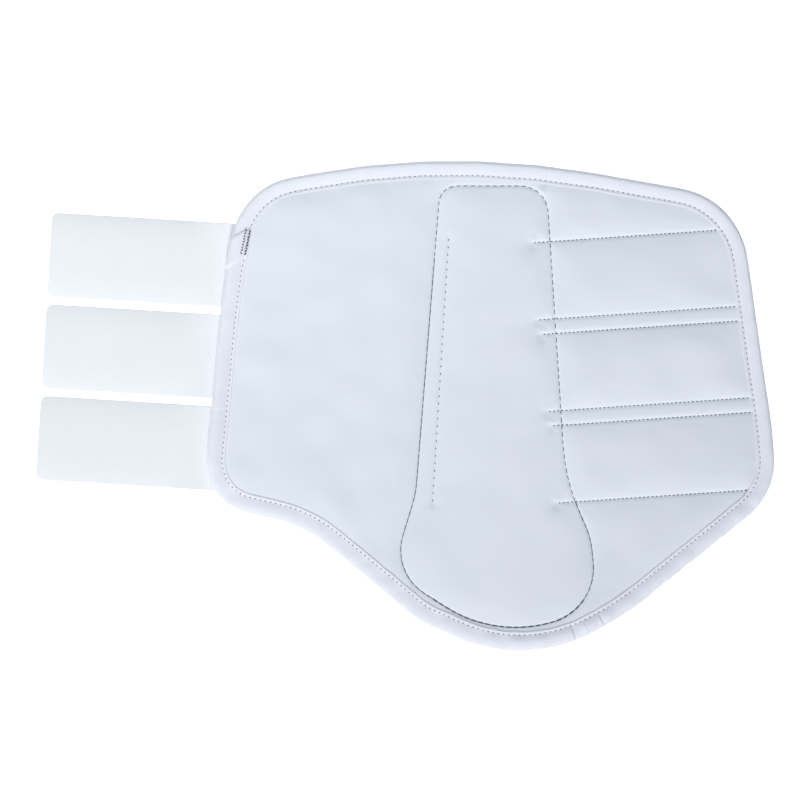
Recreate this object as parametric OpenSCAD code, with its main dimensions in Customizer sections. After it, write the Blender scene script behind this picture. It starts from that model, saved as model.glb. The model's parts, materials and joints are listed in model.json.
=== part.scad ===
// Horse splint boot: a padded sheet that wraps round the lower leg and closes with three straps.
// The boot lies opened flat on its outer face, so +Z is the side that touches the leg.
// +Y points to the boot's top and the origin is the middle of the strike pad's outer face.
// A fold line is [x where it crosses y = 0, lean from +Y towards +X in degrees].

/* [Pad] */
// Thickness of the foam padding
padding_t = 4; // [3:0.5:4]
// Thickness of the outer shell
shell_t = 1.2; // [0.8:0.1:1.2]
// Thickness of the lining
lining_t = 1; // [0.6:0.1:1]

/* [Edge binding] */
// Width of the binding tape on each face
binding_w = 11; // [8:0.5:12]
// Thickness of the binding tape
binding_t = 0.8; // [0.6:0.1:0.8]
// Distance of the binding seam from the pad's edge
binding_seam = 9.3; // [6:0.1:10]

/* [Strike pad] */
// Height of the strike pad
strike_h = 7; // [6:0.5:8]
// Thickness of the strike pad's cover
cover_t = 1.2; // [0.8:0.1:1.6]
// Thickness of the hard strike plate
plate_t = 2; // [1.5:0.5:2.5]
// How far the cover's flange reaches outside its seam
flange_w = 2.5; // [1:0.5:3]

/* [Straps and loop patches] */
// Width of the hook and loop tape
tape_w = 50; // [38:1:52]
// Thickness of the tape
tape_t = 1.2; // [0.8:0.1:1.2]
// Distance between neighbouring straps, and between neighbouring patches
tape_pitch = 54.5; // [53:0.5:58]
// Length of a strap from its anchor seam to its tip
strap_l = 236; // [215:1:260]
// Cut corner at a strap's tip
tip_cut = 3; // [1:0.5:6]
// Tilt of the straps, tips up
strap_tilt = 3.5; // [0:0.5:5]
// Tilt of the loop patches, outer ends up
patch_tilt = 3.9; // [0:0.1:5]

/* [Folds] */
// Left fold line, beside the strike pad
left_fold_x = -55; // [-57:0.5:-55]
// Left curl line, through the middle of the left wing
left_curl_x = -105; // [-112:1:-98]
// Right fold line, beside the strike pad
right_fold_x = 56; // [56:0.5:58]
// Right curl line, through the middle of the right wing
right_curl_x = 106; // [98:1:112]
// Strap fold line, just outside the left edge
strap_fold_x = -179.2; // [-182:0.1:-178]
// Strap curl line, near the straps' tips
strap_curl_x = -249; // [-252:0.5:-246]

/* [Hidden] */
ply_gap = 0.1;          // air between neighbouring layers
fold_gap = 0.15;        // each side of a fold line
thread_w = 0.8;
thread_t = 0.4;
wall_inset = 3.5;       // the strike pad's raised wall from its seam
row_inset = 2.1;        // seam rows from a loop patch's long edges
arc_step = 5;           // degrees between the points of a rounded corner
reach = 400;            // further than any point of the boot
clear = 1;              // how far a cutting shape runs past what it cuts

// Pad outline, anticlockwise: x, y and radius of each rounded corner
PAD = [
    [-150, 126.5, 41], [-162, 67.5, 590], [-173.5, -59.5, 30], [-113.5, -74, 74],
    [-46, -130, 40], [16, -158, 93], [75, -129, 177], [167, -54, 39],
    [163.5, -11, 322], [144.5, 119.5, 48], [-27.5, 151, 466]
];

// Seam of the strike pad: a straight upper part over a wider rounded bulb
STRIKE = [
    [-32, 127, 10], [-47.5, -55.5, 65], [-61.5, -102, 30], [-0.5, -141, 77],
    [60, -123.5, 33], [56, -81.5, 46], [41, -46.5, 121], [29, 127, 16]
];

strap_anchor = [-32.7, 17.9];   // middle strap's centre line at the anchor seam
strap_tail = 4;                 // strap beyond the anchor seam
patch_middle = [86.3, 20.2];    // on the middle patch's centre line
patch_start = -57.3;            // inner end of the middle patch's seam rows from patch_middle
patch_tail = 3;                 // patch beyond the inner end of its seam rows
patch_stagger = -2;             // step of the inner end from one patch to the next one up

LEFT_END = [-reach, 0];
STRAP_CURL = [strap_curl_x, 11];
STRAP_FOLD = [strap_fold_x, 6.5];
LEFT_CURL = [left_curl_x, 3.5];
LEFT_FOLD = [left_fold_x, 3];
RIGHT_FOLD = [right_fold_x, -3.5];
RIGHT_CURL = [right_curl_x, -3];
RIGHT_END = [reach, 0];

// Heights of the layers above the strike pad's outer face
strap_z = strike_h + ply_gap;
outer_leaf_z = strap_z + tape_t + ply_gap;
shell_z = outer_leaf_z + binding_t + ply_gap;
patch_z = shell_z - ply_gap - tape_t;
padding_z = shell_z + shell_t + ply_gap;
lining_z = padding_z + padding_t + ply_gap;
inner_leaf_z = lining_z + lining_t + ply_gap;
inner_top = inner_leaf_z + binding_t;
ply_inset = binding_t + 2 * ply_gap;

function unit(v) = v / norm(v);

// The arc that rounds a corner: [centre, radius, start angle, sweep, side],
// where side is 1 on an outward corner and -1 on an inward one
function corner_arc(corners, i) =
    let (
        n = len(corners),
        here = [corners[i][0], corners[i][1]],
        before = corners[(i + n - 1) % n],
        after = corners[(i + 1) % n],
        back = unit([before[0], before[1]] - here),
        ahead = unit([after[0], after[1]] - here),
        side = cross(ahead, back) > 0 ? 1 : -1,
        half = acos(back * ahead) / 2,
        centre = here + unit(back + ahead) * corners[i][2] / sin(half),
        start = atan2(side * back[0], -side * back[1])
    )
    [centre, corners[i][2], start, side * (180 - 2 * half), side];

// Points of a rounded outline moved inwards by inset
function outline(corners, inset) = [
    for (i = [0 : len(corners) - 1])
        let (
            arc = corner_arc(corners, i),
            r = arc[1] - arc[4] * inset,
            steps = max(3, ceil(abs(arc[3]) / arc_step))
        )
        for (k = [0 : steps])
            let (a = arc[2] + arc[3] * k / steps)
            arc[0] + r * [cos(a), sin(a)]
];

function fold_at(fold, y) = fold[0] + y * tan(fold[1]);

module sheet(corners, inset, z, t) {
    translate([0, 0, z])
        linear_extrude(t)
            polygon(outline(corners, inset));
}

// A flat band of material that follows an outline
module band(corners, inset, w, z, t) {
    difference() {
        sheet(corners, inset, z, t);
        sheet(corners, inset + w, z - clear, t + 2 * clear);
    }
}

// Keeps what lies between two fold lines
module between(left, right) {
    intersection() {
        children();
        translate([0, 0, -clear])
            linear_extrude(inner_top + 2 * clear)
                polygon([
                    [fold_at(left, -reach) + fold_gap, -reach],
                    [fold_at(right, -reach) - fold_gap, -reach],
                    [fold_at(right, reach) - fold_gap, reach],
                    [fold_at(left, reach) + fold_gap, reach]
                ]);
    }
}

// Whole layers, before the fold lines divide them

module lining() {
    color("aliceblue") sheet(PAD, ply_inset, lining_z, lining_t);
}

module padding() {
    color("lightyellow") sheet(PAD, ply_inset, padding_z, padding_t);
}

module shell() {
    color("whitesmoke") sheet(PAD, ply_inset, shell_z, shell_t);
}

// Tape folded over the rim: a wall with a leaf on each face
module binding() {
    color("ghostwhite")
        difference() {
            band(PAD, 0, binding_w, outer_leaf_z, inner_top - outer_leaf_z);
            sheet(PAD, binding_t, outer_leaf_z + binding_t, inner_leaf_z - outer_leaf_z - binding_t);
        }
}

module binding_seam_thread() {
    color("slategray")
        band(PAD, binding_seam - thread_w / 2, thread_w, inner_top + ply_gap / 2, thread_t);
}

// Parts of the strike pad

module strike_pad_cover() {
    color("white")
        difference() {
            union() {
                sheet(STRIKE, wall_inset, 0, strike_h);
                sheet(STRIKE, -flange_w, strike_h - cover_t, cover_t);
            }
            sheet(STRIKE, wall_inset + cover_t, cover_t, strike_h);
        }
}

module inside_cover(z, t) {
    sheet(STRIKE, wall_inset + cover_t + 3 * ply_gap, z, t);
}

module strike_plate() {
    color("dimgray") inside_cover(cover_t + ply_gap, plate_t);
}

module strike_pad_foam() {
    foam_z = cover_t + plate_t + 2 * ply_gap;
    color("lightyellow") inside_cover(foam_z, strike_h - ply_gap - foam_z);
}

module strike_pad_seam() {
    color("slategray")
        band(STRIKE, -thread_w / 2, thread_w, inner_leaf_z - ply_gap / 2, thread_t);
}

// Straps and loop patches, k = 1 for the top one, 0 for the middle one, -1 for the bottom one

module place_strap(k) {
    translate(strap_anchor)
        rotate(-strap_tilt)
            translate([0, k * tape_pitch, 0])
                children();
}

module place_patch(k) {
    translate(patch_middle)
        rotate(patch_tilt)
            translate([0, k * tape_pitch, 0])
                children();
}

module strap(k) {
    edge = tape_w / 2;
    color("azure")
        place_strap(k)
            translate([0, 0, strap_z])
                linear_extrude(tape_t)
                    polygon([
                        [strap_tail, -edge], [strap_tail, edge],
                        [tip_cut - strap_l, edge], [-strap_l, edge - tip_cut],
                        [-strap_l, tip_cut - edge], [tip_cut - strap_l, -edge]
                    ]);
}

module straps() {
    for (k = [-1 : 1]) strap(k);
}

module patch(k) {
    start = patch_start + k * patch_stagger;
    color("lavender")
        intersection() {
            place_patch(k)
                translate([start - patch_tail, -tape_w / 2, patch_z])
                    cube([reach / 2, tape_w, tape_t]);
            sheet(PAD, binding_w + 3 * ply_gap, 0, inner_top);
        }
}

module patches() {
    for (k = [-1 : 1]) patch(k);
}

module strap_anchor_seam() {
    length = 2 * tape_pitch + tape_w;
    color("slategray")
        place_strap(0)
            translate([-thread_w / 2, -length / 2, inner_leaf_z - ply_gap / 2])
                cube([thread_w, length, thread_t]);
}

// Two rows of thread along each loop patch, clear of the strike pad's seam
module patch_seam_rows() {
    row = tape_w / 2 - row_inset;
    color("slategray")
        difference() {
            intersection() {
                for (k = [-1 : 1], side = [-1, 1])
                    place_patch(k)
                        translate([
                            patch_start + k * patch_stagger,
                            side * row - thread_w / 2,
                            inner_leaf_z - ply_gap / 2
                        ])
                            cube([reach / 2, thread_w, thread_t]);
                sheet(PAD, binding_w + 3 * ply_gap, 0, inner_top + clear);
            }
            band(STRIKE, -thread_w, 2 * thread_w, inner_leaf_z - clear, thread_t + 2 * clear);
        }
}

// Where the two ends of the binding tape overlap, on the left edge near the top
module binding_join() {
    join_top = 104;
    join_bottom = 78;
    color("ghostwhite")
        intersection() {
            band(PAD, binding_t, binding_seam - thread_w - binding_t, inner_top + ply_gap / 2, thread_t);
            translate([-reach, join_bottom, 0])
                cube([reach + left_curl_x, join_top - join_bottom, inner_top + clear]);
        }
}

module centre() {
    between(LEFT_FOLD, RIGHT_FOLD) children();
}

module left_side() {
    between(LEFT_CURL, LEFT_FOLD) children();
}

module left_edge() {
    between(STRAP_FOLD, LEFT_CURL) children();
}

module right_side() {
    between(RIGHT_FOLD, RIGHT_CURL) children();
}

module right_edge() {
    between(RIGHT_CURL, RIGHT_END) children();
}

module strap_reach() {
    between(STRAP_CURL, STRAP_FOLD) children();
}

module strap_tip() {
    between(LEFT_END, STRAP_CURL) children();
}

centre() lining();  // lining_centre
left_side() lining();  // lining_left_side
left_edge() lining();  // lining_left_edge
right_side() lining();  // lining_right_side
right_edge() lining();  // lining_right_edge
centre() padding();  // padding_centre
left_side() padding();  // padding_left_side
left_edge() padding();  // padding_left_edge
right_side() padding();  // padding_right_side
right_edge() padding();  // padding_right_edge
centre() shell();  // shell_centre
left_side() shell();  // shell_left_side
left_edge() shell();  // shell_left_edge
right_side() shell();  // shell_right_side
right_edge() shell();  // shell_right_edge
centre() binding();  // binding_centre
left_side() binding();  // binding_left_side
left_edge() binding();  // binding_left_edge
right_side() binding();  // binding_right_side
right_edge() binding();  // binding_right_edge
centre() binding_seam_thread();  // binding_seam_centre
left_side() binding_seam_thread();  // binding_seam_left_side
left_edge() binding_seam_thread();  // binding_seam_left_edge
right_side() binding_seam_thread();  // binding_seam_right_side
right_edge() binding_seam_thread();  // binding_seam_right_edge
binding_join();
strike_pad_cover();
strike_plate();
strike_pad_foam();
strike_pad_seam();
strap_anchor_seam();
centre() straps();  // strap_roots
left_side() straps();  // straps_over_left_side
left_edge() straps();  // straps_over_left_edge
strap_reach() strap(1);  // strap_top_reach
strap_tip() strap(1);  // strap_top_tip
strap_reach() strap(0);  // strap_middle_reach
strap_tip() strap(0);  // strap_middle_tip
strap_reach() strap(-1);  // strap_bottom_reach
strap_tip() strap(-1);  // strap_bottom_tip
centre() patches();  // patch_roots
right_side() patch(1);  // patch_top_side
right_side() patch(0);  // patch_middle_side
right_side() patch(-1);  // patch_bottom_side
right_edge() patch(1);  // patch_top_edge
right_edge() patch(0);  // patch_middle_edge
right_edge() patch(-1);  // patch_bottom_edge
centre() patch_seam_rows();  // patch_seams_centre
right_side() patch_seam_rows();  // patch_seams_side
right_edge() patch_seam_rows();  // patch_seams_edge
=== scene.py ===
"""Looks of a horse splint boot laid open on a pale floor, seen from its lining side.

All shape functions work in millimetres and in the boot's own frame. make_mesh() converts to metres.
"""

import json
import math

import bpy
import numpy as np
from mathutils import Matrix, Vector, noise
from mathutils.bvhtree import BVHTree
from mathutils.geometry import barycentric_transform, delaunay_2d_cdt
from mathutils.kdtree import KDTree


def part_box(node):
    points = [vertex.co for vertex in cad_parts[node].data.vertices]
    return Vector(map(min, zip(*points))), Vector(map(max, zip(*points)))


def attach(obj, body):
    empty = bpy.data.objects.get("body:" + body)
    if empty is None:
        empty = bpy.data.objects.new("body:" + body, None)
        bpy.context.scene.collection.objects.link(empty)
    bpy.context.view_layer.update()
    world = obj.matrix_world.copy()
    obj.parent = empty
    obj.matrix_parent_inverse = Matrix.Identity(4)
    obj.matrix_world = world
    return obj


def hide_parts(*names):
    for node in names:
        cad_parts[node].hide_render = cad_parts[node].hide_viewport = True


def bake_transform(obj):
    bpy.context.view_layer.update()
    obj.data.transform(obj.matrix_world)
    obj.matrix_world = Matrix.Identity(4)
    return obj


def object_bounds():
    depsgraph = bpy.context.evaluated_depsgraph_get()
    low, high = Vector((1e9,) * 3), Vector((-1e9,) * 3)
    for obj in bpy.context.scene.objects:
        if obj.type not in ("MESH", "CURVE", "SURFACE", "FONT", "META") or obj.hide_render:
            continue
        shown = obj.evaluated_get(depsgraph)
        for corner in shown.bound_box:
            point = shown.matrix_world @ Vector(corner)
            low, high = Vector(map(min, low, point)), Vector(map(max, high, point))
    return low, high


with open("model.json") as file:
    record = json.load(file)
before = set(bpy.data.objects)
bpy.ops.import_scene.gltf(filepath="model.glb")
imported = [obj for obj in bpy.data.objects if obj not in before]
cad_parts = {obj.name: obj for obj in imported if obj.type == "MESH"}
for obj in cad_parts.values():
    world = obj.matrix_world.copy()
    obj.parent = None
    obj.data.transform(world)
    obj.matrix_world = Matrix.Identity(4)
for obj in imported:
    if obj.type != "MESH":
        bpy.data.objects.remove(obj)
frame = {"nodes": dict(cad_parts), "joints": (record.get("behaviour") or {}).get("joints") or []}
cad_low, cad_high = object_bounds()

MM = 0.001
TINY = 1e-12

# Sewing: for each seam, the distance between stitches, a stitch's length and its thread's radius
BINDING_STITCH = (3.1, 1.15, 0.29)
ROW_STITCH = (2.5, 1.45, 0.33)
# The strike pad's stitches are longer than their pitch and thickest near its bottom: the dark thread
# makes a near-solid line that paints the shade of the seam's groove as well as the thread
STRIKE_STITCH = (4.3, 5.4, 0.30)
STRIKE_STITCH_GROOVE_SHADE = (4.3, 4.9, 0.46)
STRIKE_STITCH_FINE = (4.3, 3.9, 0.25)
ANCHOR_STITCH = (4.4, 1.5, 0.29)
TACK_STITCH = (1.7, 1.6, 0.36)
TACK_TURN = (1.1, 2.3)  # the most a tack turns away from its row, and the wave's step, in radians
TACK_ROWS = (-0.3, 2.2)  # places of the lap's two rows of tacks across the tape
TACK_MARGIN = (1.5, 1)  # their ends beyond the lap's foot and short of its top
GROOVE_SHADE_REACH = 16  # the strike pad's seam has its thickest thread this near to its lowest point, as painted shade of its groove
FINE_START = 20  # and thin thread, with less painted groove shade, in its upper part, this far from its left side
THREAD_WIDTH = 0.8  # of the seams in the frame
THREAD_RISE = 0.1  # a stitch's axis over the cloth
BINDING_THREAD_RISE, TACK_RISE = 0.08, 0.12  # the same over the binding and over its lap
STITCH_BOW = 0.3  # how far a stitch's ends sink
STITCH_TAPER = 0.75  # how much of its cross-section it loses there
LINE_STEP = 0.5  # between the points of a line that stitches or distances are taken from

# How deep each seam pulls the lining down, and over what distance the foam recovers beside it
BINDING_SEAM = (1.0, 5.0)
STRIKE_SEAM = (1.0, 4.5)
ANCHOR_SEAM = (0.45, 3.0)
ROW_SEAM = (1.35, 5.5)
ROW_SHORT = 3.6  # recovery on the side of a row towards the boot's top
ROW_BLEND = 0.6  # over what distance the two sides of a row change into one another
GROOVE_DEPTH, GROOVE_WIDTH = 0.45, 0.7
SHELL_SHARE = 0.55  # the stiffer shell moves this much as far as the lining
TUCK_SLOPE = 0.5  # how steeply the lining falls under the binding

# Small puffs: height and size of each, and its place beside the row's end or the notch's corner
NOTCH_PUFF, NOTCH_SIZE, NOTCH_SIDE = 1.3, 1.9, (1.4, 1.9)
ROW_PUFF, ROW_PUFF_SIZE, ROW_PUFF_SIDE = 0.75, 2.0, 2.4
ROW_DIMPLE, ROW_DIMPLE_SIDE = 0.525, -2.6

# Ripples: wave size, seed and height
GATHERS = (6, 11.3, 0.12)  # beside the seams
GATHERS_AT, GATHERS_WIDTH = 4, 3.5
BROAD_RIPPLE = (40, 1.5, 0.28)
SOFT_RIPPLE = (21, 6.3, 1.0)
RIPPLE_START = (12, 10)  # distance from a seam at which the broad and the soft ripple are full
RIPPLED_LEFT = -60  # the soft ripple is halved to the right of this
SHELL_RIPPLE = (30, 8.1, 0.06)
CLOTH_RIPPLE = (14, 3.7, 0.1)

# Cloth simulation of the puffed lining
CLOTH_SPACING = 5.0
CLOTH_FRAMES = 20
CLOTH_HELD = 0.6  # the cloth is held this near to a seam
CLOTH = {
    "quality": 6, "mass": 0.3, "tension_stiffness": 25, "compression_stiffness": 25,
    "shear_stiffness": 12, "bending_stiffness": 8.0, "shrink_min": -0.004, "use_pressure": True,
    "uniform_pressure_force": 4.0, "vertex_group_mass": "held",
}
CROWN_CAP = 1.4  # the most that simulated puffing may raise the lining
CROWN_SMOOTHING = 5  # passes that take the smallest crumples out of the result

# Mesh spacing
SHEET_SPACING = 1.7
PADDING_SPACING = 5.0
COVER_SPACING, COVER_FOAM_SPACING = 2.6, 4.0
SEAM_ROWS = (-2.4, -1.4, -0.7, 0.0, 0.7, 1.4, 2.4)
COVER_ROWS = (-1.2, 0.0, 1.0, 2.0, 3.2, 4.5, 6.0)
SEAM_STEP, COVER_STEP = 1.2, 1.5
RING_STEP = 1.2
CREASE_STEP = 0.35
TAPE_STEP = 3.0

# Layers
LINING_INSET, PADDING_INSET = 2.2, 3.0
LAYER_GAP = 0.3
PADDING_LEAST = 0.4

# Corners that stand a little off the floor: the way from the middle to each, its rise and its reach
LIFTED = (((0.68, -0.73), 3.5, 62.0), ((-0.75, -0.66), 2.2, 62.0))

# Binding tape. Its foot is where its outline faces down in the picture.
TAPE = 0.5  # its thickness
ROLL = (2.9, 4.9)  # width of its rounded rim, at the top and foot
CREST_DROP = 0.3  # its crest under the highest point that the frame allows
CREST_DROP_FOOT = 0.5  # the same, further at the foot
CREST_DROP_LEFT = 2.7  # and further where the foot faces left
CREST_UNDER = 0.1  # its lower crest over the lowest point
SEAM_GAP, EDGE_GAP = 0.15, 0.05  # between tape and cloth at its seam and at its inner edge
LEAF_EASE = (0.6, 0.7)  # how far its leaf is bent beside its inner edge and beside its seam
LEAF_RISE = 0.3  # and its height between these, as a share of the way up to the seam
SLOPE_PLACES = (0.12, 0.3, 0.5, 0.7, 0.87, 1.0)  # of the rings' points from seam to crest
RIM_ANGLES = (0.3, 0.6, 0.9, 1.15, 1.38)  # and from crest to rim
SQUARENESS = 0.85  # below 1, the roll is squarer than a circle
SWELL = (110, 5.1)  # waves round the rim, and seed, of the tape's fullness
SWELL_FOOT = 2.5  # how much stronger it is at the foot
SWELL_WIDTH, SWELL_RISE = 0.12, 0.3
UNEVEN = (300, 2.2)  # waves and seed of the rim's short unevenness
UNEVEN_TOP, UNEVEN_FOOT, UNEVEN_RUFFLED, UNEVEN_SHARE = 0.12, 0.3, 0.6, 0.6
WANDER = (60, 7.4)  # waves and seed of its slow unevenness
WANDER_WIDTH = 0.25
RIM_INSET = (1.2, 0.9)  # how far the rim keeps inside the frame's outline at the right and the top
RUFFLED = (0.875, 0.05)  # where the rim is most uneven, as a share of the way round, and how far

# Sharp creases across the binding, as a share of the way round from +X, with their depths
CREASES = (
    (0.2198, 0.7), (0.1897, 0.3), (0.177, 0.4), (0.157, 0.25), (0.8054, 0.75),
    (0.8142, 0.45), (0.8239, 0.8), (0.521, 0.25), (0.62, 0.3), (0.655, 0.25),
)
CREASE_EDGE, CREASE_REACH = 0.4, 1.8
CREASE_FALL, CREASE_INSET = 0.6, 0.35
CREASE_ROOM = 3.5  # the rings are close together this far on each side of a crease

# The lap where the tape's ends meet
JOIN_LENGTH = 18.5  # along the rim
JOIN_SLANT = 9.5  # how much further along the rim the lap lies there than at its seam
JOIN_LIFT = 1.0  # its face over the tape
JOIN_UNDER = 0.15  # its underside in the tape
JOIN_STEP = 0.45  # share of the lift that its upper end starts with
JOIN_RAMPS = (1.2, 1.4)  # length of the slope at its upper and lower end
JOIN_SIDE = (0.5, 0.25)  # share of the lift at its inner edge, and how much each point adds
JOIN_RINGS = 25
JOIN_COLUMNS = range(2, 18)  # the skin's points that it covers

# Straps and loop patches
TAPE_ROUNDING = 0.45
TAPE_EDGE = (0.9, 0.8)  # angles of the points that round an edge, across and in height
TAPE_COLUMNS = 14
STRAP_BOW = 1.7  # how far a strap's long edges hang below its middle
STRAP_DROOP = (0.8, 5)  # how far its tip hangs, and the length over which it does
STRAP_SAG = (0.25, 13.0)  # its uneven sag and the size of its waves
STRAP_FREE = (4, 16)  # it starts to hang this far right of its fold, and hangs fully after this
STRAP_CORNER = 4.0  # radius of its tip's corners
TIP_STATIONS = (0, 0.3, 0.7, 1.2, 1.8, 2.5, 3.2, 4.0, 5.5)
TIP_LENGTH = 8  # where the even stations start
PATCH_ROOM = 0.4  # between a loop patch and the binding's inner edge

# Strike pad cover
COVER_THICK = 1.1
COVER_FLANGE_THICK = 1.2
COVER_SHOULDER = (0.8, 5.0)  # distances inside its seam between which it drops to its face
COVER_SEAM = (0.45, 0.7)  # depth and width of its seam's groove
FOAM_CROWN = (0.8, 5)  # height and reach of the foam's crown

# Bends: distances on each side of a fold line, which each zone keeps as its before and after
BEND_BY_PAD = 4.0  # on the side where the stiff strike pad is
BEND_OUT = 14.0  # on the free side of the same fold
BEND_CURL = 9.0  # each side of a curl line
BEND_STRAP = 7.0  # each side of a strap's fold line

# Picture
FIELD = 1.086  # picture width over the boot's width
AIM = (0.493, 0.511)  # where the picture's centre falls on the boot's box
CAMERA_HEIGHT = 3.0  # metres, far enough to be almost without perspective
SENSOR = 36
SUN = {"energy": 2.0, "angle": math.radians(12), "color": (1.0, 0.99, 0.975)}
SUN_WAY = (0.1, 1.6, -1.0)  # from the boot's foot end
FILL = {"energy": 3.4, "size": 0.6, "color": (0.97, 0.985, 1.0)}
FILL_PLACE, FILL_TARGET = (-0.38, 0.28, 0.78), (-0.15, 0.05, 0)
SKY, SKY_STRENGTH = (0.87, 0.93, 1.0, 1), 0.33
WHITE = (0.98, 0.99, 1.0, 1)
FLOOR_SIZE, FLOOR_GAP = 12, 0.0002
FLOOR_GLOW = (0.45, 1.15)  # its emission towards the boot and towards the camera


# ---- reading the frame


def node_points(*names):
    """Vertices of CAD nodes, in millimetres."""
    return np.array([v.co for n in names for v in frame["nodes"][n].data.vertices]) / MM


def heights_of(node):
    """Bottom and top of a CAD node."""
    low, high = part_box(node)
    return low.z / MM, high.z / MM


def half_middles(points, axis):
    """Middles of the points below and above their mean along an axis."""
    above = points[:, axis] > points[:, axis].mean()
    return points[~above].mean(0)[:2], points[above].mean(0)[:2]


def nodes_like(start):
    return sorted(n for n in frame["nodes"] if n.startswith(start))


def trace(names, height, centre, outer, count=1440, nudge=math.radians(0.3), far=500.0):
    """Closed outline of CAD nodes at a height, by rays towards (outer) or away from centre."""
    points, faces = [], []
    for name in names:
        mesh = frame["nodes"][name].data
        base = len(points)
        points += [v.co / MM for v in mesh.vertices]
        faces += [[base + i for i in p.vertices] for p in mesh.polygons]
    tree = BVHTree.FromPolygons(points, faces)
    middle = Vector((*centre, height))
    radii = []
    for k in range(count):
        found = []
        for shift in (-nudge, 0, nudge):
            angle = 2 * math.pi * k / count + shift
            way = Vector((math.cos(angle), math.sin(angle), 0))
            start, aim = (middle + way * far, -way) if outer else (middle, way)
            distance = tree.ray_cast(start, aim)[3]
            if distance is not None:
                found.append(far - distance if outer else distance)
        radii.append(max(found) if outer else min(found))
    angles = 2 * np.pi * np.arange(count) / count
    ring = np.array(radii)[:, None] * np.stack([np.cos(angles), np.sin(angles)], 1)
    return ring + np.array(centre)


def unit(vectors):
    return vectors / np.maximum(np.linalg.norm(vectors, axis=-1, keepdims=True), TINY)


def smoothstep(t):
    return t * t * (3 - 2 * t)


def closed(loop):
    return np.vstack([loop, loop[:1]])


def run_of(line):
    """How far along a line each of its points is."""
    return np.concatenate([[0], np.cumsum(np.linalg.norm(np.diff(line, axis=0), axis=1))])


def along_line(line, run, at):
    """Points of a line where its run has these values."""
    return np.stack([np.interp(at, run, line[:, k]) for k in range(2)], 1)


def resample(loop, step):
    """Points at an even step along a closed loop."""
    line = closed(loop)
    run = run_of(line)
    count = max(8, round(run[-1] / step))
    return along_line(line, run, run[-1] * np.arange(count) / count)


def smooth_loop(loop, step=1.0, sigma=2.0):
    """An even closed loop with the corners of its facets smoothed away."""
    even = resample(loop, step)
    damp = np.exp(-((2 * np.pi * np.fft.fftfreq(len(even), d=step) * sigma) ** 2) / 2)
    soft = np.fft.ifft(np.fft.fft(even[:, 0] + 1j * even[:, 1]) * damp)
    return np.stack([soft.real, soft.imag], 1)


def outward(loop):
    """Unit normals of an anticlockwise loop."""
    along = unit(np.roll(loop, -1, 0) - np.roll(loop, 1, 0))
    return np.stack([along[:, 1], -along[:, 0]], 1)


def inset(loop, distance):
    return loop - outward(loop) * distance


class Lane:
    """A straight run of tape: a direction u along it and v across it."""

    def __init__(self, direction):
        self.u = np.array(direction) / np.linalg.norm(direction)
        self.v = np.array([-self.u[1], self.u[0]])

    def at(self, u, v):
        return np.outer(np.atleast_1d(u), self.u) + np.outer(np.atleast_1d(v), self.v)


def tape_span(lane, body, end, roots, margin=1):
    """u of a tape's two ends and v of its two long edges, from its body, its free end and the node
    that holds the roots of all tapes of its kind."""
    across = node_points(body)[:, :2] @ lane.v
    points = node_points(end, roots)[:, :2]
    v = points @ lane.v
    u = (points @ lane.u)[(v > across.min() - margin) & (v < across.max() + margin)]
    return u.min(), u.max(), across.min(), across.max()


def seam_rows(row_gap=1.5):
    """The six rows on the loop patches, each as a start and an end point."""
    points = node_points("patch_seams_centre", "patch_seams_side", "patch_seams_edge")
    v = points[:, :2] @ patch_lane.v
    order = np.argsort(v)
    rows = []
    for group in np.split(order, np.where(np.diff(v[order]) > row_gap)[0] + 1):
        u = points[group, :2] @ patch_lane.u
        middle = v[group].mean()
        rows.append((patch_lane.at(u.min(), middle)[0], patch_lane.at(u.max(), middle)[0]))
    return rows


# Heights of the layers
LINING_BOTTOM, LINING_TOP = heights_of("lining_centre")
SHELL_BOTTOM, SHELL_TOP = heights_of("shell_centre")
LEAF_BOTTOM, LEAF_TOP = heights_of("binding_centre")
COVER_TOP = heights_of("strike_pad_cover")[1]
LINING_THICK = LINING_TOP - LINING_BOTTOM
SHELL_THICK = SHELL_TOP - SHELL_BOTTOM

# Outlines: the pad, the binding's inner edge and seam, and the strike pad's seam, which is the key
binding_nodes = [n for n in nodes_like("binding_") if "seam" not in n and n != "binding_join"]
leaf_height = (LEAF_TOP + LINING_TOP) / 2 + EDGE_GAP
pad = smooth_loop(trace(binding_nodes, (LEAF_TOP + LEAF_BOTTOM) / 2, (0, 0), True))
leaf_edge = smooth_loop(trace(binding_nodes, leaf_height, (0, 0), False))
seam_height = sum(heights_of("binding_seam_centre")) / 2
seam_outer = trace(nodes_like("binding_seam_"), seam_height, (0, 0), True)
LEAF_WIDTH = float(pad[:, 1].max() - leaf_edge[:, 1].max())
SEAM_INSET = float(pad[:, 1].max() - seam_outer[:, 1].max()) + THREAD_WIDTH / 2
pad_seam = inset(pad, SEAM_INSET)

KEY_CENTRE = (0.0, -60.0)
key_height = sum(heights_of("strike_pad_seam")) / 2
key = smooth_loop(trace(["strike_pad_seam"], key_height, KEY_CENTRE, True), sigma=1.5)
key = inset(key, THREAD_WIDTH / 2)
FLANGE = float(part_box("strike_pad_cover")[1].y / MM - key[:, 1].max())

# Straight lines: the strap anchor seam, which the straps cross squarely, and the loop patches' way
anchor_bottom, anchor_top = half_middles(node_points("strap_anchor_seam"), 1)
strap_lane = Lane((anchor_top[1] - anchor_bottom[1], anchor_bottom[0] - anchor_top[0]))
by_height = sorted(node_points("patch_middle_side").tolist(), key=lambda point: point[1])
left_end, right_end = half_middles(np.array(by_height[len(by_height) // 2:]), 0)
patch_lane = Lane(right_end - left_end)

LEVELS = ("top", "middle", "bottom")
STRAPS = {
    n: tape_span(strap_lane, f"strap_{n}_reach", f"strap_{n}_tip", "strap_roots") for n in LEVELS
}
PATCHES = {
    n: tape_span(patch_lane, f"patch_{n}_side", f"patch_{n}_edge", "patch_roots") for n in LEVELS
}
ROWS = seam_rows()


# ---- folds and zones


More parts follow.
